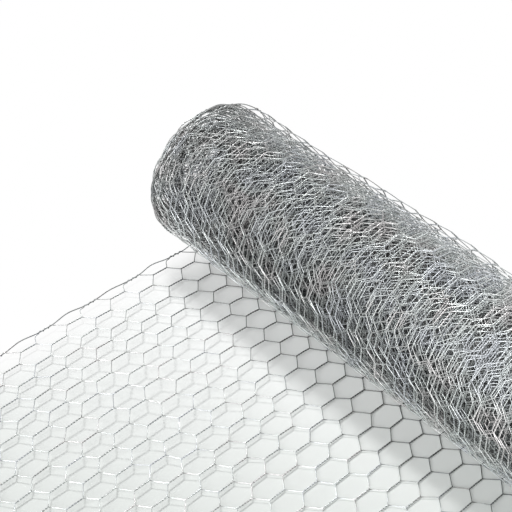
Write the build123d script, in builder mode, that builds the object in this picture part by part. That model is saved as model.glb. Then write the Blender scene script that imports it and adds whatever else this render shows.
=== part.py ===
from build123d import *
import math
import os

# A roll of hexagonal wire netting (chicken wire), partly unrolled on a floor.
# Millimetres. +X runs along the roll, +Y from the loose end towards the roll, +Z up.
# The origin is on the floor, at the bottom centre of the whole object's box.

# Netting
MESH_WIDTH = 25.0  # between neighbouring twists of one row
MESH_COUNT = 20  # whole meshes from selvedge to selvedge
ROW_PITCH = 28.3  # between rows of twists
TWIST_LENGTH = 18.6
WIRE_DIAMETER = 0.8
SELVEDGE_WIDTH = 1.8  # the edge wires, twisted together

# Wound part
ROLL_DIAMETER = 154.0
BORE_DIAMETER = 50.0
LAYER_PITCH = 1.75  # from one turn to the next
TURN_CREST = 0.9  # what one turn's selvedge shows on an end of the roll
END_RELIEF = 2.0  # depth between the turns on an end

# Unrolled part, measured along the floor from the line that the roll stands on
SHEET_LENGTH = 430.0
FIRST_ROW = 4.2  # middle of the first row of twists
SHEET_BEHIND = 16.0  # how far behind that line the slack outer turn still lies flat
SWELL_START = 60.0
SWELL_CREST = 205.0
SWELL_HEIGHT = 8.0
STRIP_NAMES = ("unrolled_netting_near_roll", "unrolled_netting_middle", "unrolled_netting_free_end")

# Derived places
TWIST_WIDTH = 2 * WIRE_DIAMETER
SHEET_THICKNESS = TWIST_WIDTH
NETTING_WIDTH = MESH_COUNT * MESH_WIDTH + SELVEDGE_WIDTH
ROLL_RADIUS = ROLL_DIAMETER / 2
BORE_RADIUS = BORE_DIAMETER / 2
OVERALL_DEPTH = SHEET_LENGTH + ROLL_RADIUS
CONTACT_Y = OVERALL_DEPTH / 2 - ROLL_RADIUS
AXIS_Z = SHEET_THICKNESS + ROLL_RADIUS
ROW_COUNT = int((SHEET_LENGTH - FIRST_ROW) / ROW_PITCH) + 1
ROWS_PER_STRIP = ROW_COUNT // len(STRIP_NAMES)


def netting_roll():
    """The wound turns as one turned solid with its bore, a crest for each turn on both ends."""
    turns = int((ROLL_RADIUS - BORE_RADIUS) / LAYER_PITCH)
    groove_width = LAYER_PITCH - TURN_CREST
    end_x = NETTING_WIDTH / 2 - END_RELIEF / 2
    with BuildPart() as roll:
        with BuildSketch(Plane.XZ.offset(-CONTACT_Y)) as section:
            with Locations((0, AXIS_Z + (ROLL_RADIUS + BORE_RADIUS) / 2)):
                Rectangle(NETTING_WIDTH, ROLL_RADIUS - BORE_RADIUS)
            for turn in range(1, turns):
                groove_z = AXIS_Z + ROLL_RADIUS - turn * LAYER_PITCH + groove_width / 2
                with Locations((-end_x, groove_z), (end_x, groove_z)):
                    Rectangle(END_RELIEF, groove_width, mode=Mode.SUBTRACT)
        revolve(axis=Axis((0, CONTACT_Y, AXIS_Z), (1, 0, 0)))
    return roll.part


def row_distance(row):
    """Distance of a row of twists from the line that the roll stands on."""
    return FIRST_ROW + row * ROW_PITCH


def mesh_columns(row):
    """X of the middles of a row's meshes, alternate rows being staggered by half a mesh."""
    half_steps = range(-MESH_COUNT, MESH_COUNT + 1)
    return [step * MESH_WIDTH / 2 for step in half_steps if (step + MESH_COUNT + row) % 2 == 0]


def mesh_outline():
    """Corners of one open hexagon, inside the wires that bound it."""
    drop = ROW_PITCH - TWIST_LENGTH
    diagonal = math.hypot(MESH_WIDTH / 2, drop)
    wire_share = WIRE_DIAMETER * diagonal / MESH_WIDTH
    side_x = (MESH_WIDTH - TWIST_WIDTH) / 2
    side_y = TWIST_LENGTH / 2 + TWIST_WIDTH * drop / MESH_WIDTH - wire_share
    tip_y = ROW_PITCH - TWIST_LENGTH / 2 - wire_share
    return [
        (side_x, side_y),
        (0, tip_y),
        (-side_x, side_y),
        (-side_x, -side_y),
        (0, -tip_y),
        (side_x, -side_y),
    ]


def sheet_section():
    """Section of the sheet across its rows: flat under the roll, then one long low swell."""
    start_y = CONTACT_Y - SWELL_START
    crest_y = CONTACT_Y - SWELL_CREST
    end_y = CONTACT_Y - SHEET_LENGTH
    rise_y = (start_y + crest_y) / 2
    fall_y = (crest_y + end_y) / 2
    behind_y = CONTACT_Y + SHEET_BEHIND
    with BuildSketch(Plane.YZ) as section:
        with BuildLine():
            for low_z in (0, SHEET_THICKNESS):
                crest_z = low_z + SWELL_HEIGHT
                middle_z = low_z + SWELL_HEIGHT / 2
                Line((behind_y, low_z), (start_y, low_z))
                TangentArc((start_y, low_z), (rise_y, middle_z), tangent=(-1, 0))
                TangentArc((crest_y, crest_z), (rise_y, middle_z), tangent=(1, 0))
                TangentArc((crest_y, crest_z), (fall_y, middle_z), tangent=(-1, 0))
                TangentArc((end_y, low_z), (fall_y, middle_z), tangent=(1, 0))
            for cut_y in (behind_y, end_y):
                Line((cut_y, 0), (cut_y, SHEET_THICKNESS))
        make_face()
    return section.sketch


def strip_reach(strip):
    """First row, last row, start and end distance of a strip, cut halfway between two rows."""
    first_row = strip * ROWS_PER_STRIP
    last_row = first_row + ROWS_PER_STRIP - 1
    start = -SHEET_BEHIND
    end = row_distance(last_row + 0.5)
    if strip > 0:
        start = row_distance(first_row - 0.5)
    if strip == len(STRIP_NAMES) - 1:
        last_row = ROW_COUNT
        end = SHEET_LENGTH
    return first_row, last_row, start, end


def netting_strip(strip):
    """A few rows of the unrolled netting, its wires fused where they cross."""
    first_row, last_row, start, end = strip_reach(strip)
    middle_y = CONTACT_Y - (start + end) / 2
    selvedge_x = MESH_COUNT * MESH_WIDTH / 2
    rows = range(first_row - 1, last_row + 2)
    centres = [(x, CONTACT_Y - row_distance(row)) for row in rows for x in mesh_columns(row)]
    with BuildPart() as wires:
        with BuildSketch():
            with Locations((0, middle_y)):
                Rectangle(NETTING_WIDTH, end - start)
            with Locations(centres):
                Polygon(mesh_outline(), align=None, mode=Mode.SUBTRACT)
            with Locations((-selvedge_x, middle_y), (selvedge_x, middle_y)):
                Rectangle(SELVEDGE_WIDTH, end - start)
        extrude(amount=SWELL_HEIGHT + SHEET_THICKNESS)
        sheet = extrude(sheet_section(), NETTING_WIDTH / 2, both=True, mode=Mode.PRIVATE)
        add(sheet, mode=Mode.INTERSECT)
    return wires.part


os.makedirs("parts", exist_ok=True)
for index, strip_name in enumerate(STRIP_NAMES):
    piece = netting_strip(index)
    piece.label = strip_name
    export_step(piece, "parts/" + strip_name + ".step")
roll_solid = netting_roll()
roll_solid.label = "netting_roll"
export_step(roll_solid, "parts/netting_roll.step")
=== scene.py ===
"""Looks of a roll of chicken wire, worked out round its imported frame.

The netting is one long sheet. Each of its forty wires zigzags between two neighbouring columns and is
twisted three times round its partner in every row. The sheet is worked out flat, as the centrelines of
its wires: across its width, along its length and in its rise above the sheet. Then it is laid over the
floor in front of the roll's lowest line and wound on a spiral behind it, and every wire gets a skin.

The netting is in millimetres, the finishes and the studio are in metres.
"""

from __future__ import annotations

import logging
import math
from dataclasses import dataclass, field
from enum import Enum
from typing import Any

import bpy
import numpy as np
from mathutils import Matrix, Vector

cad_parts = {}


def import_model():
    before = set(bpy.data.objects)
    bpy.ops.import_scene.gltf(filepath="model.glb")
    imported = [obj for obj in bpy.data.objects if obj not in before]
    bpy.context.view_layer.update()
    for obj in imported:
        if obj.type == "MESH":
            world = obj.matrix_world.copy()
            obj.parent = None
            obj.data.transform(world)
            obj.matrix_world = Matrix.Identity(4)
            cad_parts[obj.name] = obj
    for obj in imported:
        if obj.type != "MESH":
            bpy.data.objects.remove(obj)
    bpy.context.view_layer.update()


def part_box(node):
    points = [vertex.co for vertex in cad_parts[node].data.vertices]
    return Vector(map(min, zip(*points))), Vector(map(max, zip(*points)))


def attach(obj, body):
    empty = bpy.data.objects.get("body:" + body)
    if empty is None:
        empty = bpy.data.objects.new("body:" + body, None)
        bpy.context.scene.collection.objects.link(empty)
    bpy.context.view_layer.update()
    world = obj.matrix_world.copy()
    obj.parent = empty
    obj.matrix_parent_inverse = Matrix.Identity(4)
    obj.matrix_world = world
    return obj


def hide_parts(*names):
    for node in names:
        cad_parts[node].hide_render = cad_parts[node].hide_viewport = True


Array = np.ndarray
Colour = tuple[float, float, float, float]
Place = tuple[float, float, float]
Span = tuple[float, float]

LOG = logging.getLogger("chicken_wire")
MM = 0.001
WHOLE_TURN = 2.0 * math.pi
WHITE: Colour = (1.0, 1.0, 1.0, 1.0)
ROLL_NODE = "netting_roll"
SHEET_NODES = ("unrolled_netting_near_roll", "unrolled_netting_middle", "unrolled_netting_free_end")


@dataclass(frozen=True)
class Fineness:
    """How finely a stretch is drawn: the corners in a wire's ring, and the steps along its parts."""

    sides: int
    twist: int
    slant: int
    edge: int

    @property
    def edge_sides(self) -> int:
        """Corners in the edge wire's ring: one more than in a wire's, and six at most."""
        return min(self.sides + 1, 6)


class Stretch(Enum):
    """Stretches of the sheet, by how well they show."""

    OPEN_SHEET = Fineness(sides=6, twist=18, slant=4, edge=8)
    FIRST_TURN = Fineness(sides=4, twist=16, slant=3, edge=7)
    OUTER_TURNS = Fineness(sides=4, twist=12, slant=2, edge=6)
    MIDDLE_TURNS = Fineness(sides=3, twist=9, slant=2, edge=5)
    INNER_TURNS = Fineness(sides=3, twist=2, slant=1, edge=4)
    CORE_TURNS = Fineness(sides=3, twist=2, slant=1, edge=3)


@dataclass(frozen=True)
class Waves:
    """A smooth random field over the sheet: a sum of sine waves with seeded lengths and phases."""

    seed: int
    height: float
    across: float
    along: float
    count: int = 6

    def at(self, across: Array, along: Array) -> Array:
        """Adds up the waves at points of the sheet.

        The field is height / sqrt(count) times the sum of sin(2 pi (a x / across + b s / along +
        phase)), where a runs from -1 to 1, b from 0.5 to 1 and the phase from 0 to 1.

        Args:
            across: Places across the sheet.
            along: Places along it.

        Returns:
            The field's value at each.
        """
        rng = np.random.default_rng(self.seed)
        total = np.zeros(across.shape)
        for _ in range(self.count):
            cycles = across * rng.uniform(-1.0, 1.0) / self.across
            cycles = cycles + along * rng.uniform(0.5, 1.0) / self.along
            total += np.sin(WHOLE_TURN * (cycles + rng.uniform(0.0, 1.0)))
        return total * self.height / math.sqrt(self.count)


@dataclass(frozen=True)
class Swell:
    """One soft rise of the open sheet: a bell with its place, widths and height."""

    across: float
    along: float
    width_across: float
    width_along: float
    height: float

    def at(self, across: Array, along: Array) -> Array:
        """The bell's height at points: its top's times exp(-(dx / width)^2 - (ds / width)^2)."""
        dx, ds = (across - self.across) / self.width_across, (along - self.along) / self.width_along
        return self.height * np.exp(-dx * dx - ds * ds)


@dataclass(frozen=True)
class OpenSheet:
    """How the unrolled sheet lies on the floor."""

    half_width: float
    lift: float = 0.8
    level_run: float = 60.0  # length over which it comes up in front of the roll
    edge_curl: float = 2.4
    curl_width: float = 9.0
    swells: tuple[Swell, ...] = (
        Swell(-122.0, 215.0, 112.0, 150.0, height=11.0),
        Swell(20.0, 345.0, 80.0, 60.0, height=4.0),
        Swell(70.0, 280.0, 70.0, 60.0, height=2.5),
        Swell(245.0, 110.0, 60.0, 80.0, height=3.0),
    )

    def height(self, across: Array, along: Array) -> Array:
        """Works out how high the sheet lies.

        Its height is lift + curl exp(-inward / width) + the swells, where inward is the distance
        from the nearer edge. It grows with (s / run)^2 until s is the run.

        Args:
            across: Places across the sheet.
            along: Places along it.

        Returns:
            The sheet's height above lying flat at each, 0 on the roll.
        """
        start = np.clip(along / self.level_run, 0.0, 1.0) ** 2
        inward = np.clip(self.half_width - np.abs(across), 0.0, None)
        curl = self.edge_curl * np.exp(-inward / self.curl_width)
        return start * (self.lift + curl + sum(swell.at(across, along) for swell in self.swells))


@dataclass
class Spiral:
    """The tight spiral of the wound turns: its radius and its rows of twists, turn by turn."""

    outer_radius: float
    open_length: float
    stock_length: float = 14000.0  # more than a real roll's 10 m, so that no light shows through
    bore_radius: float = 25.0
    half_thickness: float = 0.8  # of a twisted pair of wires
    row_pitch: float = 28.3
    pitch: float = 1.45  # from turn to turn, on the outside
    even_turns: int = 6  # turns on end with the same number of rows
    growth: float = field(init=False)  # of the pitch, in each turn
    rows: int = field(init=False)  # that are wound
    whole_turns: Array = field(init=False)
    turn_rows: Array = field(init=False)  # wound by each of the whole turns

    def __post_init__(self) -> None:
        """Works out how many turns there are, how the pitch grows, and the rows in each.

        The radius after t turns is R - p t - c t^2 / 2 and the length 2 pi (R t - p t^2 / 2 - c t^3
        / 6), where the pitch p grows by c a turn. With c from the inner radius, the whole length gives
        a quadratic for the number of turns. Each turn gets a whole and odd number of rows, the same
        for several turns on end, so that their meshes lie in step.
        """
        ring = self.outer_radius - self.bore_radius - self.half_thickness
        wound = self.stock_length - self.open_length
        slope = self.outer_radius - ring / 3.0
        bend = self.pitch / 6.0
        root = math.sqrt(slope * slope - 4.0 * bend * wound / WHOLE_TURN)
        count = (slope - root) / (2.0 * bend)
        self.growth = 2.0 * (ring - self.pitch * count) / count**2
        self.rows = int(wound / self.row_pitch)
        turns = np.arange(math.ceil(count) + 2)
        length = self.outer_radius * turns - self.pitch * turns**2 / 2 - self.growth * turns**3 / 6
        each = np.diff(WHOLE_TURN * length / self.row_pitch)
        group = np.arange(len(each)) // self.even_turns
        mean = np.bincount(group, each) / np.bincount(group)
        odd = 2.0 * np.round((mean[group] - 1.0) / 2.0) + 1.0
        self.whole_turns = turns
        self.turn_rows = np.concatenate([[0.0], np.cumsum(odd)])

    def turns_at(self, along: Array) -> Array:
        """Turns wound at a place behind the contact line, 0 in front of it: whole rows a turn."""
        return np.interp(-along, self.turn_rows * self.row_pitch, self.whole_turns)

    def rows_in(self, turns: float) -> int:
        """Rows of twists in the given number of outer turns."""
        return int(np.interp(turns, self.whole_turns, self.turn_rows))

    def radius(self, turns: Array) -> Array:
        """Radius after t turns: R - p t - c t^2 / 2."""
        return self.outer_radius - self.pitch * turns - self.growth * turns * turns / 2.0


@dataclass(frozen=True)
class Slack:
    """How far the two outermost turns stand off the tight spiral."""

    first: float = 3.2
    second: float = 0.6
    loose_until: float = math.radians(133.0)  # from the contact line, over the back
    tight_from: float = math.radians(250.0)
    flat_until: float = math.radians(70.0)  # the floor limits the first turn
    bounds: Span = (0.6, 4.6)  # of the first turn's distance
    unevenness: Waves = Waves(12, height=1.2, across=90.0, along=160.0)

    def at(self, turns: Array, across: Array, along: Array, radius: float) -> Array:
        """Works out how far points stand off.

        The distance is even over the back and the top and goes to 0 in front with cos(q)^2, q from
        0 to a right angle. By the floor the first turn's is at most r (1 / cos a - 1), which leaves
        it flat, and the second turn's grows from 0 over a third of the loose angle.

        Args:
            turns: Turns wound at each point.
            across: Places across the sheet.
            along: Places along it.
            radius: The spiral's outer radius.

        Returns:
            The distance at each point, 0 from the third turn on.
        """
        within = WHOLE_TURN * np.mod(turns, 1.0)
        tightened = np.clip((within - self.loose_until) / (self.tight_from - self.loose_until), 0.0, 1.0)
        shape = np.cos(tightened * math.pi / 2.0) ** 2
        first = np.clip(self.first + self.unevenness.at(across, along), *self.bounds) * shape
        flat = radius * (1.0 / np.cos(np.minimum(within, self.flat_until)) - 1.0)
        first = np.where(within < self.flat_until, np.minimum(first, flat), first)
        second = self.second * shape * np.clip(within / self.loose_until * 3.0, 0.0, 1.0)
        return np.where(turns < 1.0, first, np.where(turns < 2.0, second, 0.0))


@dataclass(frozen=True)
class Creep:
    """How the wound turns lie out of step with each other, and how their edges fray."""

    half_width: float
    across: float = 0.6  # each turn further to the right
    along: float = 0.5  # each turn further back
    turns: float = 14.0  # for that many turns
    splay: float = 1.4  # each turn's edges further out
    splay_turns: float = 9.0
    splay_limit: float = 13.0
    run: float = 90.0  # length over which all of it begins
    edge_power: int = 6  # the greater, the narrower the splayed edge
    drift: Waves = Waves(11, height=1.6, across=200.0, along=4200.0)
    push: Waves = Waves(14, height=6.0, across=180.0, along=3000.0)
    stray: Waves = Waves(15, height=0.6, across=100.0, along=120.0)
    fray: Waves = Waves(17, height=1.3, across=5000.0, along=300.0)

    def shifts(self, across: Array, along: Array, turns: Array) -> tuple[Array, Array]:
        """Works out the shifts of points.

        With e = (|x| / half width)^power, a point shifts across by (1 - e) (drift + creep) + e
        (splay + fray) + stray, and along by push - creep + stray. Creep and splay grow turn by
        turn, and the first turn isn't splayed or frayed.

        Args:
            across: Places across the sheet.
            along: Places along it.
            turns: Turns wound at each point.

        Returns:
            The shifts across and along at each point, 0 on the open sheet.
        """
        begun = np.clip(-along / self.run, 0.0, 1.0)
        inside = 1.0 - np.clip(np.abs(across) / self.half_width, 0.0, 1.0) ** self.edge_power
        depth = np.minimum(turns, self.turns)
        out = self.splay * np.clip(depth - 1.0, 0.0, self.splay_turns)
        out = out + self.fray.at(across, along) * np.clip(depth - 1.0, 0.0, 1.0)
        splayed = np.minimum(out, self.splay_limit) * np.sign(across) * (1.0 - inside)
        drifted = (self.drift.at(across, along) + self.across * depth) * inside
        sideways = (drifted + splayed + self.stray.at(across, along)) * begun
        pushed = self.push.at(across, along) - self.along * depth + self.stray.at(along, across)
        return sideways, pushed * begun


@dataclass
class Winding:
    """The way the sheet goes: over the floor, under the roll and round its spiral."""

    axis_y: float
    axis_z: float
    half_width: float
    spiral: Spiral
    sheet: OpenSheet
    creep: Creep
    slack: Slack = Slack()
    settle: Waves = Waves(13, height=0.3, across=90.0, along=90.0)
    wound_gap: float = 0.01  # what is wound stays that far behind the contact line
    floor_gap: float = 0.45  # least height of a wire's middle
    offset: float = 12.5  # of the open sheet, to the right of the roll
    offset_turns: float = 1.6  # until it is gone
    squeeze: float = 0.4  # share of it that is missing at the right edge
    squeeze_from: float = 100.0

    @classmethod
    def from_frame(cls) -> Winding:
        """Reads the roll's and the open sheet's sizes from the frame.

        Returns:
            The winding.
        """
        low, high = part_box(ROLL_NODE)
        free_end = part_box(SHEET_NODES[-1])[0]
        axis_y = (low.y + high.y) / 2 / MM
        outer = (high.y - low.y) / 2 / MM
        half_width = (high.x - low.x) / 2 / MM
        return cls(
            axis_y=axis_y,
            axis_z=high.z / MM - outer,
            half_width=half_width,
            spiral=Spiral(outer + Spiral.half_thickness, axis_y - free_end.y / MM),
            sheet=OpenSheet(half_width),
            creep=Creep(half_width),
        )

    def offset_at(self, across: Array, turns: Array) -> Array:
        """Works out the offset of points to the right.

        With h falling from 1 to 0 over the offset's turns, and e growing from 0 to 1 over the
        sheet's right part, it is offset (1 - squeeze e^2) h^2 (3 - 2 h).

        Args:
            across: Places across the sheet.
            turns: Turns wound at each point.

        Returns:
            The offset at each point.
        """
        home = np.clip(1.0 - turns / self.offset_turns, 0.0, 1.0)
        to_right = (across - self.squeeze_from) / (self.half_width - self.squeeze_from)
        squeezed = self.squeeze * np.clip(to_right, 0.0, 1.0) ** 2
        return self.offset * (1.0 - squeezed) * home * home * (3.0 - 2.0 * home)

    def lay(self, flat: Array) -> tuple[Array, Array]:
        """Puts points of the flat netting in their place.

        In front of the contact line a point goes along -Y and gets the sheet's height. Behind it, it
        is shifted by the turns' creep and goes on the spiral: y = Y + r sin a, z = Z - r cos a, where
        r is the spiral's radius plus the slack and a small unevenness, less the rise.

        Args:
            flat: Points by their places across and along the sheet, above 0 in front of the
                contact line, and their rise towards the roll's axis.

        Returns:
            The points in place, and the direction of the rise at each.
        """
        across, along, rise = np.moveaxis(flat, -1, 0)
        wound = along < 0.0
        sideways, pushed = self.creep.shifts(across, along, self.spiral.turns_at(along))
        behind = np.minimum(along + pushed, -self.wound_gap)
        turns = self.spiral.turns_at(np.where(wound, behind, along))
        angle = WHOLE_TURN * turns
        uneven = self.settle.at(across, along) * np.clip(turns, 0.0, 1.0)
        radius = self.spiral.radius(turns) - rise
        radius = radius + self.slack.at(turns, across, along, self.spiral.outer_radius) + uneven
        x = across + self.offset_at(across, turns) + sideways
        y = np.where(wound, self.axis_y + radius * np.sin(angle), self.axis_y - along)
        on_floor = self.spiral.half_thickness + self.sheet.height(across, along) + rise
        z = np.where(wound, self.axis_z - radius * np.cos(angle), on_floor)
        points = np.stack([x, y, np.maximum(z, self.floor_gap)], axis=-1)
        up = np.stack([np.zeros_like(angle), -np.sin(angle), np.cos(angle)], axis=-1)
        return points, up


@dataclass
class WireSkin:
    """Gathers round wires into one mesh, with the wires' tones as an attribute of its points."""

    name: str
    corners: list[Array] = field(default_factory=list)
    quads: list[Array] = field(default_factory=list)
    caps: list[Array] = field(default_factory=list)
    tones: list[Array] = field(default_factory=list)
    count: int = 0

    def add(self, centre: Array, up: Array, radius: float, sides: int, tone: Array) -> None:
        """Skins wires that have equally many points.

        At each point of the centreline c, with the tangent t, the ring is c + radius (cos q a +
        sin q b), where a = t x up and b = a x t. Rings are joined by quads and closed by end caps.

        Args:
            centre: Centrelines, as wires x points x 3.
            up: The rise's direction at each point.
            radius: The wire's radius.
            sides: Corners in a ring.
            tone: A tone for each point, as wires x points, with any painted light and shade in it: 0 is
                dark and 1 is bright.
        """
        wires, points = centre.shape[:2]
        tangent = np.gradient(centre, axis=1)
        tangent /= np.linalg.norm(tangent, axis=-1, keepdims=True)
        side = np.cross(tangent, up)
        side /= np.linalg.norm(side, axis=-1, keepdims=True)
        normal = np.cross(side, tangent)
        turn = (WHOLE_TURN * np.arange(sides) / sides)[:, None]
        ring = np.cos(turn) * side[:, :, None, :] + np.sin(turn) * normal[:, :, None, :]
        self.corners.append((centre[:, :, None, :] + radius * ring).reshape(-1, 3))
        self.tones.append(np.repeat(tone.reshape(-1), sides))
        index = self.count + np.arange(wires * points * sides).reshape(wires, points, sides)
        beside = np.roll(index, -1, axis=2)
        quad = np.stack([index[:, :-1], index[:, 1:], beside[:, 1:], beside[:, :-1]], axis=-1)
        self.quads.append(quad.reshape(-1, 4))
        self.caps.append(np.concatenate([index[:, 0], index[:, -1, ::-1]]))
        self.count += index.size

    def make(self) -> bpy.types.Object:
        """Makes the mesh, in metres, and its object.

        Returns:
            The object, linked to the scene.
        """
        mesh = bpy.data.meshes.new(self.name)
        corners = np.concatenate(self.corners) * MM
        faces = [*self.quads, *self.caps]
        loops = np.concatenate([group.reshape(-1) for group in faces]).astype(np.int32)
        totals = np.concatenate([np.full(len(group), group.shape[1]) for group in faces])
        starts = np.concatenate([[0], np.cumsum(totals)[:-1]])
        mesh.vertices.add(len(corners))
        mesh.vertices.foreach_set("co", corners.astype(np.float32).reshape(-1))
        mesh.loops.add(len(loops))
        mesh.loops.foreach_set("vertex_index", loops)
        mesh.polygons.add(len(totals))
        mesh.polygons.foreach_set("loop_start", starts.astype(np.int32))
        mesh.polygons.foreach_set("loop_total", totals.astype(np.int32))
        mesh.polygons.foreach_set("use_smooth", totals == 4)
        tone = mesh.attributes.new("tone", "FLOAT", "POINT")
        tone.data.foreach_set("value", np.concatenate(self.tones).astype(np.float32))
        mesh.update(calc_edges=True)
        made = bpy.data.objects.new(self.name, mesh)
        bpy.context.scene.collection.objects.link(made)
        LOG.info("%s: %d triangles", self.name, int((totals - 2).sum()))
        return made


@dataclass(frozen=True)
class PaintedLightAndShade:
    """Painted light and shade along the wires, added to their tone, where two wires differ by up to 1."""

    open_slant: float = 0.15  # painted highlight that one way's slants gain and painted shade that the other way's lose
    wound_slant: float = 0.7  # the same painted light and shade the other way round, on the roll
    foot_slant: float = -0.8  # and the same painted light and shade at its foot
    open_bead: float = 1.3  # painted shade that the beads of a twist lose, in the groove where its two wires lie side by side
    # painted shade in the twists' grooves at the roll's foot
    foot_bead: float = 0.6
    wound_painted_highlight: float = 0.3  # painted highlight that twists gain on the roll
    foot_from: float = math.radians(225.0)  # from the contact line, over the back and the top
    foot_full: float = math.radians(275.0)

    def foot(self, turns: Array) -> Array:
        """How near the roll's foot a turn has come, from 0 over its back and top to 1."""
        within = WHOLE_TURN * np.mod(turns, 1.0)
        return np.clip((within - self.foot_from) / (self.foot_full - self.foot_from), 0.0, 1.0)

    def on_twists(self, wound: Array, turns: Array, angle: Array) -> Array:
        """Works out the painted light and shade that are added to the wires' tone on their twists.

        With the bead cos(q)^2, that is -bead on the open sheet and (1 - f) highlight - f bead on the roll,
        where f is how near its foot the row is: painted shade in the twists' grooves and a painted
        highlight on the roll's twists.

        Args:
            wound: Whether each row of twists is on the roll.
            turns: Turns wound at each row.
            angle: The wires' angle q round each other at places along a twist.

        Returns:
            Changes of the tone, as rows x places.
        """
        bead = np.cos(angle) ** 2
        foot = self.foot(turns)[:, None]
        on_roll = self.wound_painted_highlight * (1.0 - foot) - self.foot_bead * foot * bead
        return np.where(wound[:, None], on_roll, -self.open_bead * bead)

    def on_slants(self, wound: Array, turns: Array) -> Array:
        """What is added as painted light and shade on slants to the left after each row, and taken from
        those to the right.
        """
        on_roll = self.wound_slant + (self.foot_slant - self.wound_slant) * self.foot(turns)
        return np.where(wound, -on_roll, self.open_slant)


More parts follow.
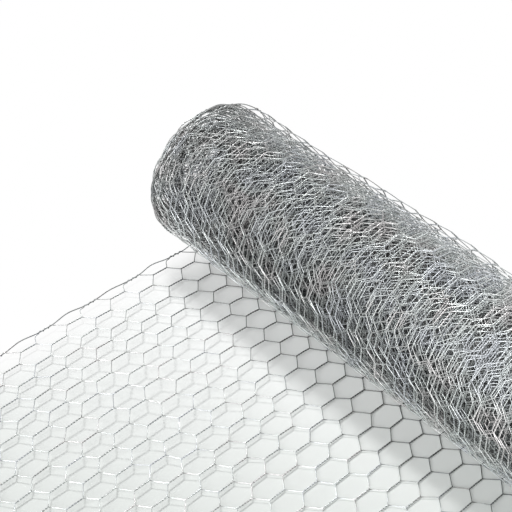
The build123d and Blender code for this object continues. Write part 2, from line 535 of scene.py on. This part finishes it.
@dataclass
class Netting:
    """The hexagonal netting: where its twists are and how its wires run, flat and in place."""

    winding: Winding
    mesh_count: int = 20
    twist_length: float = 18.6
    wire: float = 0.8
    edge_wire: float = 1.15
    twist_turns: int = 3
    first_row: float = 4.2  # in front of the contact line
    stiffness: float = 0.8  # of the twists against the turns' bend, from 0 to 1
    shift: float = 0.45  # spread of the twists' places
    lean: float = 0.02  # and of their slopes
    crookedness: float = 2.0  # how much larger both are on the roll
    unevenness: float = 0.22  # spread of the twists' rises on the roll
    open_unevenness: float = 0.3  # share of it on the open sheet
    edge_loop: float = 2.2
    loop_range: Span = (0.3, 1.2)  # least and greatest share of it
    edge_draw: float = 3.0  # how far the twists draw an edge wire in
    # painted highlights and shade along the wires
    painted_light_and_shade: PaintedLightAndShade = PaintedLightAndShade()
    seed: int = 5

    def __post_init__(self) -> None:
        """Numbers the rows and draws every twist's small irregularities."""
        rng = np.random.default_rng(self.seed)
        spiral = self.winding.spiral
        self.row_pitch = spiral.row_pitch
        self.last_row = int((spiral.open_length - self.first_row) / self.row_pitch)
        self.innermost_row = -spiral.rows
        shape = (self.last_row - self.innermost_row + 2, 2 * self.mesh_count + 1)
        wound = np.arange(shape[0])[:, None] < -self.innermost_row
        crooked = np.where(wound, self.crookedness, 1.0)
        self.shift_across = rng.normal(0.0, self.shift, shape) * crooked
        self.shift_along = rng.normal(0.0, self.shift, shape) * crooked
        self.leans = rng.normal(0.0, self.lean, shape) * crooked
        self.rises = rng.normal(0.0, self.unevenness, shape)
        self.tones = rng.uniform(0.0, 1.0, (shape[0], 2 * self.mesh_count))
        self.loops = self.edge_loop * rng.uniform(*self.loop_range, shape[0])

    @property
    def half_column(self) -> float:
        """Half the mesh width, the distance between neighbouring columns of twists."""
        return (self.winding.half_width - self.wire) / self.mesh_count

    @property
    def free_cut(self) -> float:
        """How far into the last row's twists the free end is cut, as a share of them."""
        past = self.winding.spiral.open_length - self.place(self.last_row)
        return 0.5 + past / self.twist_length

    def place(self, rows: Array | int) -> Array | float:
        """Where the middles of rows of twists lie along the sheet."""
        return self.first_row + self.row_pitch * rows

    def strands(self, rows: Array) -> tuple[Array, Array]:
        """Tells each wire's column in each row, and the angle that it enters the twist at.

        In odd rows the two wires of a pair meet in the odd column between them, the right one at
        angle 0 and the left one at half a turn. In even rows they part to the even columns beside it,
        the other way round, where each meets the next pair's wire or the edge wire.

        Args:
            rows: Row numbers.

        Returns:
            Half-columns and angles, both as wires x rows.
        """
        pair = np.arange(self.mesh_count)[:, None]
        together = (rows % 2 == 1)[None, :]
        right = np.where(together, 2 * pair + 1, 2 * pair + 2)
        left = np.where(together, 2 * pair + 1, 2 * pair)
        entry = np.broadcast_to(np.where(together, 0.0, math.pi), right.shape)
        return np.concatenate([right, left]), np.concatenate([entry, math.pi - entry])

    def twists(self, rows: Array, share: Array) -> Array:
        """Runs every wire through its twists.

        With u from 0 to 1 along the twist and the angle q = entry + 2 pi turns u, a wire is at
        across = column + radius cos q and rise = radius sin q, leaned by a small slope. Round an edge
        wire the radius is half of both wires. On the roll a twist stays straighter than the turn, and
        its ends stand off by stiffness times run^2 / 2 r.

        Args:
            rows: Row numbers.
            share: Places along the twist, from 0 to 1.

        Returns:
            Flat points, as wires x rows x places x 3.
        """
        column, entry = self.strands(rows)
        index = np.broadcast_to(rows - self.innermost_row, column.shape)
        on_edge = (column == 0) | (column == 2 * self.mesh_count)
        wrap = 0.5 * (self.wire + self.edge_wire)
        radius = np.where(on_edge, wrap, 0.5 * self.wire)[..., None]
        angle = entry[..., None] + WHOLE_TURN * self.twist_turns * share
        run = (share - 0.5) * self.twist_length
        sideways = radius * np.cos(angle)
        free = np.where(on_edge, 0.0, 1.0)
        lean = (self.leans[index, column] * free)[..., None]
        across = (column - self.mesh_count) * self.half_column + self.shift_across[index, column] * free
        across = across - np.where(on_edge, np.sign(across) * self.edge_draw, 0.0)
        along = self.place(rows) + self.shift_along[index, column]
        wound = (rows < 0)[None, :, None]
        bow = self.stiffness * run * run / (2.0 * self.winding.spiral.outer_radius)
        rough = np.where(wound, 1.0, self.open_unevenness) * (self.rises[index, column] * free)[..., None]
        rise = np.where(wound, -bow, 0.0) + rough + radius * np.sin(angle)
        x = across[..., None] + sideways + lean * run
        return np.stack([x, along[..., None] + run - lean * sideways, rise], axis=-1)

    def slants(self, rows: Array, twist: Array, steps: int) -> Array:
        """Runs every wire from the end of each twist to the start of its next one.

        A slant goes straight, with t from 0 to 1. Where it leaves an edge wire it first goes on
        along it, in a loop of its size times t (1 - t)^2 over 4 / 27, the most that this grows to.

        Args:
            rows: Rows that the slants leave.
            twist: Flat points of the twists in these rows and the one after.
            steps: Steps along a slant.

        Returns:
            Flat points between the slants' ends, as wires x rows x points x 3.
        """
        share = (np.arange(1, steps) / steps)[:, None]
        start, end = twist[:, :-1, -1:, :], twist[:, 1:, :1, :]
        slant = start + (end - start) * share
        column = self.strands(rows)[0]
        outward = np.where(column == 0, -1.0, np.where(column == 2 * self.mesh_count, 1.0, 0.0))
        loop = np.abs(outward) * self.loops[rows - self.innermost_row]
        swing = (share * (1.0 - share) ** 2)[:, 0] * 27.0 / 4.0
        slant[..., 0] += (outward * loop)[..., None] * swing
        slant[..., 1] += loop[..., None] * swing
        return slant

    def wire_tones(self, rows: Array, share: Array, twist: Array, slant_steps: int) -> Array:
        """Gives every wire its tone: its own, drawn anew in each row, and the painted light and shade added
        along its twists and slants.

        Args:
            rows: Rows of twists.
            share: Places along the twists.
            twist: Flat points of the twists in these rows and the one after.
            slant_steps: Steps along a slant.

        Returns:
            Tones from each twist's start to the next one's, as wires x rows x points.
        """
        own = self.tones[rows - self.innermost_row].T[..., None]
        to_left = np.sign(twist[:, :-1, -1:, 0] - twist[:, 1:, :1, 0])
        wound = rows < 0
        turns = self.winding.spiral.turns_at(rows * self.row_pitch)
        on_twist = own + self.painted_light_and_shade.on_twists(wound, turns, WHOLE_TURN * self.twist_turns * share)
        on_slant = own + to_left * self.painted_light_and_shade.on_slants(wound, turns)[:, None]
        return np.concatenate([on_twist, np.repeat(on_slant, slant_steps, axis=2)], axis=2)

    def wires(self, first: int, last: int, fineness: Fineness, cut: float = 0.0) -> tuple[Array, Array]:
        """Runs every wire from one row of twists to the start of another.

        Args:
            first: First row.
            last: The row that the wires end at.
            fineness: How many points a twist and a slant get.
            cut: How much of the last row's twists they take in.

        Returns:
            Flat points as wires x points x 3, and the tones as wires x points.
        """
        rows = np.arange(first, last + 1)
        share = np.linspace(0.0, 1.0, fineness.twist + 1)
        twist = self.twists(rows, share)
        slant = self.slants(rows[:-1], twist, fineness.slant)
        path = np.concatenate([twist[:, :-1], slant], axis=2)
        tone = self.wire_tones(rows[:-1], share[:-1], twist, fineness.slant)
        tone = tone.reshape(len(tone), -1)
        tail = self.twists(rows[-1:], share[share <= cut])[:, 0]
        path = np.concatenate([path.reshape(len(path), -1, 3), tail], axis=1)
        tone = np.concatenate([tone, np.repeat(tone[:, -1:], tail.shape[1], axis=1)], axis=1)
        return path, tone

    def build(
        self, name: str, first: int, last: int, stretch: Stretch, cut: float = 0.0
    ) -> bpy.types.Object:
        """Makes one piece of the netting.

        Args:
            name: The piece's name.
            first: First row of twists.
            last: The row that its wires end at.
            stretch: The stretch that it belongs to.
            cut: How much of the last row's twists they take in.

        Returns:
            The piece's object.
        """
        path, tone = self.wires(first, last, stretch.value, cut)
        skin = WireSkin(name)
        skin.add(*self.winding.lay(path), self.wire / 2.0, stretch.value.sides, tone)
        return skin.make()


@dataclass
class Selvedge:
    """One long edge of the netting: a thicker wire that the last wires of the netting wrap."""

    netting: Netting
    hand: int  # -1 for the left edge and 1 for the right one
    bulge: float = 2.6
    sharpness: float = 1.5  # the greater, the narrower the bulges
    wave: Waves = Waves(16, height=0.5, across=500.0, along=70.0)
    tone: float = 0.5

    def wire_path(self, first: float, last: float, steps: int) -> Array:
        """Runs the edge wire.

        It is drawn in where the wires of an even row wrap it and bulges in between, by bulge
        w^sharpness + wave w, where w is (1 - cos q) / 2 and q goes round once in two rows.

        Args:
            first: Where the stretch begins along the sheet.
            last: Where it ends.
            steps: Points in one row's length.

        Returns:
            Flat points, as 1 x points x 3.
        """
        netting = self.netting
        count = int(math.ceil((last - first) / netting.row_pitch * steps)) + 1
        along = np.linspace(first, last, count)
        level = np.zeros(count)
        swing = 0.5 - 0.5 * np.cos(math.pi * (along - netting.first_row) / netting.row_pitch)
        edge = netting.half_column * netting.mesh_count - netting.edge_draw
        edge = edge + self.bulge * swing**self.sharpness + swing * self.wave.at(level, along)
        return np.stack([self.hand * edge, along, level], axis=-1)[None]

    def build(self, name: str, cuts: list[tuple[float, Stretch]]) -> bpy.types.Object:
        """Makes the edge in stretches of different fineness that follow on each other.

        Args:
            name: The piece's name.
            cuts: Where each stretch ends along the sheet, from the innermost on, and what it is.

        Returns:
            The piece's object.
        """
        skin = WireSkin(name)
        netting = self.netting
        begin = netting.place(netting.innermost_row)
        for end, stretch in cuts:
            path = self.wire_path(begin, end, stretch.value.edge)
            tone = np.full(path.shape[:2], self.tone)
            skin.add(*netting.winding.lay(path), netting.edge_wire / 2.0, stretch.value.edge_sides, tone)
            begin = end
        return skin.make()


@dataclass(frozen=True)
class Flow:
    """An output socket of a node tree, with the arithmetic of Math nodes."""

    bench: Bench
    socket: bpy.types.NodeSocket | None  # none for a node without outputs

    def beside(self, output: str) -> Flow:
        """Another output of the same node."""
        return Flow(self.bench, self.socket.node.outputs[output])

    def _math(self, operation: str, first: Flow | float, second: Flow | float) -> Flow:
        """Adds a Math node of two values."""
        return self.bench.node("ShaderNodeMath", {"operation": operation}, {0: first, 1: second})

    def __add__(self, other: Flow | float) -> Flow:
        """self + other."""
        return self._math("ADD", self, other)

    def __sub__(self, other: Flow | float) -> Flow:
        """self - other."""
        return self._math("SUBTRACT", self, other)

    def __rsub__(self, other: Flow | float) -> Flow:
        """other - self."""
        return self._math("SUBTRACT", other, self)

    def __mul__(self, other: Flow | float) -> Flow:
        """self * other."""
        return self._math("MULTIPLY", self, other)

    __radd__ = __add__
    __rmul__ = __mul__

    def at_least(self, other: Flow | float) -> Flow:
        """The larger of two values."""
        return self._math("MAXIMUM", self, other)

    def at_most(self, other: Flow | float) -> Flow:
        """The smaller of two values."""
        return self._math("MINIMUM", self, other)


class Bench:
    """Adds nodes to one tree."""

    def __init__(self, owner: bpy.types.Material | bpy.types.World) -> None:
        """Starts from an empty tree.

        Args:
            owner: What it belongs to.
        """
        owner.use_nodes = True
        self.tree = owner.node_tree
        self.tree.nodes.clear()

    def node(
        self,
        kind: str,
        settings: dict[str, Any] | None = None,
        sockets: dict[str | int, Any] | None = None,
        output: str | int = 0,
    ) -> Flow:
        """Adds a node.

        Args:
            kind: The node's type.
            settings: Its properties, set first; stops gives a ramp's places and colours.
            sockets: A value or a Flow for each input, by name or number.
            output: The output that is returned.

        Returns:
            That output.
        """
        made = self.tree.nodes.new(kind)
        for name, value in (settings or {}).items():
            if name == "stops":
                self._set_stops(made.color_ramp.elements, value)
            else:
                setattr(made, name, value)
        for name, value in (sockets or {}).items():
            if isinstance(value, Flow):
                self.tree.links.new(value.socket, made.inputs[name])
            else:
                made.inputs[name].default_value = value
        return Flow(self, made.outputs[output] if made.outputs else None)

    @staticmethod
    def _set_stops(elements: Any, stops: tuple[tuple[float, Colour], ...]) -> None:
        """Gives a ramp its stops.

        Args:
            elements: The ramp's elements.
            stops: A place and a colour for each.
        """
        while len(elements) < len(stops):
            elements.new(1.0)
        for element, (place, colour) in zip(elements, stops):
            element.position = place
            element.color = colour

    def scaled(self, colour: Flow, level: Flow) -> Flow:
        """A colour times a level."""
        strength = self.node("ShaderNodeCombineXYZ", sockets={"X": level, "Y": level, "Z": level})
        return self.node("ShaderNodeVectorMath", {"operation": "MULTIPLY"}, {0: colour, 1: strength})

    def distance(self, place: Flow, direction: Place) -> Flow:
        """How far a place lies along a direction, as their dot product."""
        settings = {"operation": "DOT_PRODUCT"}
        return self.node("ShaderNodeVectorMath", settings, {0: place, 1: direction}, output="Value")

    def between(
        self, value: Flow, where: Span, levels: Span = (0.0, 1.0), course: str = "SMOOTHSTEP"
    ) -> Flow:
        """Takes a value from one level to another.

        Args:
            value: The value.
            where: Values at which the change starts and ends; the end may lie below the start.
            levels: Levels before the start and past the end.
            course: How it goes in between.

        Returns:
            The level.
        """
        sockets = {"Value": value, "From Min": where[0], "From Max": where[1]}
        sockets |= {"To Min": levels[0], "To Max": levels[1]}
        return self.node("ShaderNodeMapRange", {"interpolation_type": course}, sockets)

    def noise(self, place: Flow, scale: float, detail: float = 1.0) -> Flow:
        """A Noise Texture's value at a place, in features per metre."""
        return self.node("ShaderNodeTexNoise", sockets={"Vector": place, "Scale": scale, "Detail": detail})


class Direction(Enum):
    """Directions that the finishes' painted light and shade change along."""

    RIGHT = (1.0, 0.0, 0.0)
    BACK = (0.0, 1.0, 0.0)
    UP = (0.0, 0.0, 1.0)
    DOWN_AND_LEFT = (-0.5, 0.0, -1.0)


@dataclass(frozen=True)
class Fade:
    """A slow change of a finish's level along a direction, by one factor first and another last: painted
    light and shade by place.
    """

    direction: Direction
    start: float
    end: float
    first: float
    last: float

    def factor(self, bench: Bench, place: Flow) -> Flow:
        """What the level is multiplied by at a place."""
        run = bench.distance(place, self.direction.value)
        return bench.between(run, (self.start, self.end), (self.first, self.last), "LINEAR")


# Painted light and shade on the roll: darker towards its left end, lighter towards its right end and its
# lower left.
ROLL_PAINTED_LIGHT_AND_SHADE = (
    Fade(Direction.RIGHT, -0.25, -0.05, 0.75, 0.92),
    Fade(Direction.RIGHT, 0.0, 0.22, 1.0, 1.38),
    Fade(Direction.RIGHT, -0.25, -0.20, 0.80, 1.0),
    Fade(Direction.DOWN_AND_LEFT, -0.04, 0.05, 1.0, 1.35),
)


@dataclass(frozen=True)
class ZincFinish:
    """Hot-dipped zinc on drawn wire: satin metal, mottled, with duller and brighter stretches at random;
    its fades paint light and shade by place.
    """

    name: str
    level: float
    wire_contrast: float = 0.4
    mottle: float = 0.56
    roughness: float = 0.36
    rough_mottle: float = 0.22  # how much the roughness follows the mottle
    metal: float = 1.0
    lightest: float = 0.95
    tints: tuple[tuple[float, Colour], ...] = (
        (0.34, (0.95, 0.985, 1.03, 1.0)),
        (0.50, (0.965, 1.015, 1.0, 1.0)),
        (0.66, (1.02, 0.99, 0.99, 1.0)),
    )
    tint_scale: float = 26.0
    mottle_scale: float = 420.0
    grain_scale: float = 2600.0
    relief: float = 0.00012
    relief_strength: float = 0.35
    relief_mottle: float = 1.5  # the mottle's part in it, where the grain's is 1
    fades: tuple[Fade, ...] = ()

    @classmethod
    def of_turns(
        cls, name: str, level: float, at_foot: float, foot_top: float, at_top: float, *more: Fade
    ) -> ZincFinish:
        """The finish of some wound turns, with painted light and shade at the roll's foot and painted light
        on its top and back.

        Args:
            name: The material's name.
            level: How light the zinc is half-way up the roll's front.
            at_foot: What the level is multiplied by at the roll's foot: painted light above 1 and painted
                shade below.
            foot_top: Height at which that has faded.
            at_top: The same on its top and back, painted light where it is above 1.
            *more: Further fades.

        Returns:
            The finish.
        """
        foot = Fade(Direction.UP, 0.03, foot_top, at_foot, 1.0)
        top = Fade(Direction.BACK, 0.12, 0.18, 1.0, at_top)
        fades = (*ROLL_PAINTED_LIGHT_AND_SHADE, foot, top, *more)
        return cls(name, level, wire_contrast=0.5, roughness=0.32, metal=0.7, fades=fades)

    def make(self) -> bpy.types.Material:
        """Builds the material.

        Base colour: the tint, which shifts over some 40 mm, times the level, 1 + contrast (tone - 0.5) +
        mottle (m - 0.5), times the fades. The tone holds painted light and shade besides each wire's own
        tone, and the fades paint light and shade by place. Roughness follows the mottle m as well, and
        grain and mottle give a slight relief.

        Returns:
            The material.
        """
        material = bpy.data.materials.new(self.name)
        bench = Bench(material)
        place = bench.node("ShaderNodeTexCoord", output="Object")
        tone = bench.node("ShaderNodeAttribute", {"attribute_name": "tone"}, output="Fac")
        mottle = bench.noise(place, self.mottle_scale, detail=3.0)
        grain = bench.noise(place, self.grain_scale)
        tint = bench.node(
            "ShaderNodeValToRGB", {"stops": self.tints}, {"Fac": bench.noise(place, self.tint_scale)}
        )
        level = self.level * (1.0 + self.wire_contrast * (tone - 0.5) + self.mottle * (mottle - 0.5))
        for fade in self.fades:
            level = level * fade.factor(bench, place)
        height = grain + self.relief_mottle * mottle
        relief = {"Height": height, "Strength": self.relief_strength, "Distance": self.relief}
        bump = bench.node("ShaderNodeBump", sockets=relief, output="Normal")
        surface = {
            "Base Color": bench.scaled(tint, level.at_most(self.lightest)),
            "Metallic": self.metal,
            "Roughness": self.roughness + self.rough_mottle * (mottle - 0.5),
            "Normal": bump,
        }
        shader = bench.node("ShaderNodeBsdfPrincipled", sockets=surface)
        bench.node("ShaderNodeOutputMaterial", sockets={"Surface": shader})
        return material


# Painted shade on the back of the outer turns.
BACK_PAINTED_SHADE = Fade(Direction.BACK, 0.228, 0.246, 1.0, 0.35)
# Lit and shaded copies of one zinc, turn by turn: painted light at the foot of the outer turns, painted
# shade at the foot of the deeper ones, and painted light on the tops of all.
FIRST_ZINC = ZincFinish.of_turns("zinc_first_turn", 0.46, 2.5, 0.13, 1.35, BACK_PAINTED_SHADE)
OUTER_ZINC = ZincFinish.of_turns("zinc_outer_turns", 0.45, 2.3, 0.13, 1.35, BACK_PAINTED_SHADE)
MIDDLE_ZINC = ZincFinish.of_turns("zinc_middle_turns", 0.53, 1.1, 0.13, 1.4)
DEEP_ZINC = ZincFinish.of_turns("zinc_deep_turns", 0.55, 0.4, 0.085, 1.35)
INNER_ZINC = ZincFinish.of_turns("zinc_inner_turns", 0.57, 0.2, 0.085, 1.3)
# Painted shade: the core turns are much darker, and painted light makes them lighter towards the right end.
CORE_ZINC = ZincFinish("zinc_core_turns", 0.2, fades=(Fade(Direction.RIGHT, -0.05, 0.2, 1.0, 2.0),))
# Painted light: the edge wire is lighter on the roll than on the open sheet.
EDGE_ZINC = ZincFinish("zinc_edge_wire", 0.20, fades=(Fade(Direction.BACK, 0.03, 0.12, 1.0, 1.9),))
# Painted shade on the open sheet's wires near the roll, and painted light towards its right.
OPEN_ZINC = ZincFinish(
    "zinc_open_wire",
    0.52,
    roughness=0.32,
    fades=(Fade(Direction.BACK, 0.04, 0.10, 1.0, 0.35), Fade(Direction.RIGHT, -0.15, 0.2, 1.0, 1.6)),
)


@dataclass(frozen=True)
class SoftLamp:
    """A far lamp: the direction it shines from, its strength and the angle that it fills."""

    name: str
    place: Place
    strength: float
    spread: float

    def hang(self) -> None:
        """Makes the lamp."""
        data = bpy.data.lights.new(self.name, "SUN")
        data.energy = self.strength
        data.angle = self.spread
        lamp = bpy.data.objects.new(self.name, data)
        lamp.rotation_mode = "QUATERNION"
        lamp.rotation_quaternion = Vector(self.place).to_track_quat("Z", "Y")
        bpy.context.scene.collection.objects.link(lamp)


@dataclass(frozen=True)
class Studio:
    """A pale floor that turns to white beyond the netting, soft lamps, and the camera."""

    camera_place: Place = (0.6695, -0.59875, 1.018)
    azimuth: float = math.radians(47.39)  # from -Y towards +X
    elevation: float = math.radians(41.47)
    lens: float = 101.4
    sensor: float = 36.0
    clip: Span = (0.05, 50.0)
    lamps: tuple[SoftLamp, ...] = (
        SoftLamp("overhead_lamp", (-0.5, 0.2, 1.0), 1.37, math.radians(12.0)),
        SoftLamp("front_lamp", (0.1, -0.8, 0.6), 2.58, math.radians(50.0)),
    )
    fill: float = 0.12
    floor_size: float = 8.0
    floor_near: Colour = (0.782, 0.812, 0.790, 1.0)
    floor_far: Colour = (0.945, 0.957, 0.950, 1.0)
    floor_change: Span = (-0.15, 0.2)  # from near to far, the way the camera faces; the floor's colour is darker near the camera as painted shade
    floor_left: Span = (-0.245, -0.19)  # where white turns to the floor's colour
    floor_back: Span = (0.34, 0.20)

    @property
    def ahead(self) -> Vector:
        """The direction that the camera faces, level."""
        return Vector((-math.sin(self.azimuth), math.cos(self.azimuth), 0.0))

    def build(self) -> None:
        """Makes the camera, the lamps, the world and the floor."""
        self._camera()
        for lamp in self.lamps:
            lamp.hang()
        self._world()
        self._floor()
        bpy.context.scene.view_settings.view_transform = "Standard"

    def _camera(self) -> None:
        """Places the camera at the photograph's angle."""
        data = bpy.data.cameras.new("camera")
        data.lens = self.lens
        data.sensor_width = self.sensor
        data.clip_start, data.clip_end = self.clip
        camera = bpy.data.objects.new("camera", data)
        camera.location = self.camera_place
        look = self.ahead * math.cos(self.elevation) - Vector((0.0, 0.0, math.sin(self.elevation)))
        camera.rotation_mode = "QUATERNION"
        camera.rotation_quaternion = look.to_track_quat("-Z", "Y")
        bpy.context.scene.collection.objects.link(camera)
        bpy.context.scene.camera = camera

    def _world(self) -> None:
        """Fills the shadows; to the camera, in metal and through glass it is plain white."""
        world = bpy.data.worlds.new("studio")
        bpy.context.scene.world = world
        bench = Bench(world)
        seen = bench.node("ShaderNodeLightPath", output="Is Camera Ray")
        white = seen.at_least(seen.beside("Is Glossy Ray")).at_least(seen.beside("Is Transmission Ray"))
        strength = self.fill + white * (1.0 - self.fill)
        shader = bench.node("ShaderNodeBackground", sockets={"Color": WHITE, "Strength": strength})
        bench.node("ShaderNodeOutputWorld", sockets={"Surface": shader})

    def _floor(self) -> None:
        """Lays the floor, plain white to the netting's left and behind it."""
        half = self.floor_size / 2.0
        mesh = bpy.data.meshes.new("floor")
        corners = [(-half, -half, 0.0), (half, -half, 0.0), (half, half, 0.0), (-half, half, 0.0)]
        mesh.from_pydata(corners, [], [(0, 1, 2, 3)])
        floor = bpy.data.objects.new("floor", mesh)
        bpy.context.scene.collection.objects.link(floor)
        material = bpy.data.materials.new("pale_floor")
        bench = Bench(material)
        place = bench.node("ShaderNodeTexCoord", output="Object")
        across = bench.node("ShaderNodeSeparateXYZ", sockets={0: place}, output="X")
        further = bench.between(bench.distance(place, self.ahead), self.floor_change)
        colours = {0: further, 6: self.floor_near, 7: self.floor_far}
        colour = bench.node("ShaderNodeMix", {"data_type": "RGBA"}, colours, output=2)
        matt = bench.node("ShaderNodeBsdfDiffuse", sockets={"Color": colour})
        glow = bench.node("ShaderNodeEmission", sockets={"Color": WHITE, "Strength": 1.0})
        behind = bench.between(across.beside("Y"), self.floor_back)
        under = bench.between(across, self.floor_left) * behind
        shader = bench.node("ShaderNodeMixShader", sockets={0: 1.0 - under, 1: matt, 2: glow})
        bench.node("ShaderNodeOutputMaterial", sockets={"Surface": shader})
        mesh.materials.append(material)


@dataclass(frozen=True)
class Turns:
    """One piece of the wound netting."""

    name: str
    until: float  # the turn it ends at
    stretch: Stretch
    finish: ZincFinish


@dataclass
class ChickenWire:
    """The whole roll: the open sheet, the wound turns from outside in, and the two edge wires."""

    winding: Winding
    turns: tuple[Turns, ...] = (
        Turns("outermost_turn", 1.0, Stretch.FIRST_TURN, FIRST_ZINC),
        Turns("second_and_third_turn", 3.0, Stretch.OUTER_TURNS, OUTER_ZINC),
        Turns("fourth_to_sixth_turn", 6.0, Stretch.MIDDLE_TURNS, MIDDLE_ZINC),
        Turns("seventh_to_ninth_turn", 9.0, Stretch.MIDDLE_TURNS, DEEP_ZINC),
        Turns("tenth_to_fourteenth_turn", 14.0, Stretch.INNER_TURNS, INNER_ZINC),
        Turns("inner_turns", 22.0, Stretch.INNER_TURNS, CORE_ZINC),
        Turns("core_turns", 60.0, Stretch.CORE_TURNS, CORE_ZINC),
    )
    edges: tuple[tuple[str, int], ...] = (("left_edge_wire", -1), ("right_edge_wire", 1))

    def build(self) -> None:
        """Builds and dresses every piece in order."""
        netting = Netting(self.winding)
        spiral = self.winding.spiral
        sheet = netting.build("unrolled_netting", 0, netting.last_row, Stretch.OPEN_SHEET, netting.free_cut)
        self._dress(sheet, OPEN_ZINC.make(), *SHEET_NODES)
        zincs: dict[ZincFinish, bpy.types.Material] = {}
        outer = 0
        cuts = [(spiral.open_length, Stretch.OPEN_SHEET)]
        for turns in self.turns:
            inner = -min(spiral.rows_in(turns.until), spiral.rows)
            if turns.finish not in zincs:
                zincs[turns.finish] = turns.finish.make()
            piece = netting.build(turns.name, inner, outer, turns.stretch)
            self._dress(piece, zincs[turns.finish], ROLL_NODE)
            cuts.append((netting.place(outer), turns.stretch))
            outer = inner
        edge_zinc = EDGE_ZINC.make()
        for name, hand in self.edges:
            self._dress(Selvedge(netting, hand).build(name, cuts[::-1]), edge_zinc)

    @staticmethod
    def _dress(piece: bpy.types.Object, material: bpy.types.Material, *nodes: str) -> None:
        """Gives a piece its finish, body and slot, and hides the parts that it stands for.

        Args:
            piece: The piece.
            material: Its finish.
            *nodes: The parts that it stands for, which are hidden, if any.
        """
        piece.data.materials.append(material)
        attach(piece, "root")
        if nodes:
            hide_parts(*nodes)


def main() -> None:
    """Loads the frame, builds the netting and the studio, and reports."""
    logging.basicConfig(level=logging.INFO, format="%(name)s: %(message)s")
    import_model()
    ChickenWire(Winding.from_frame()).build()
    Studio().build()
    LOG.info("the netting and the studio are built")


if __name__ == "__main__":
    main()
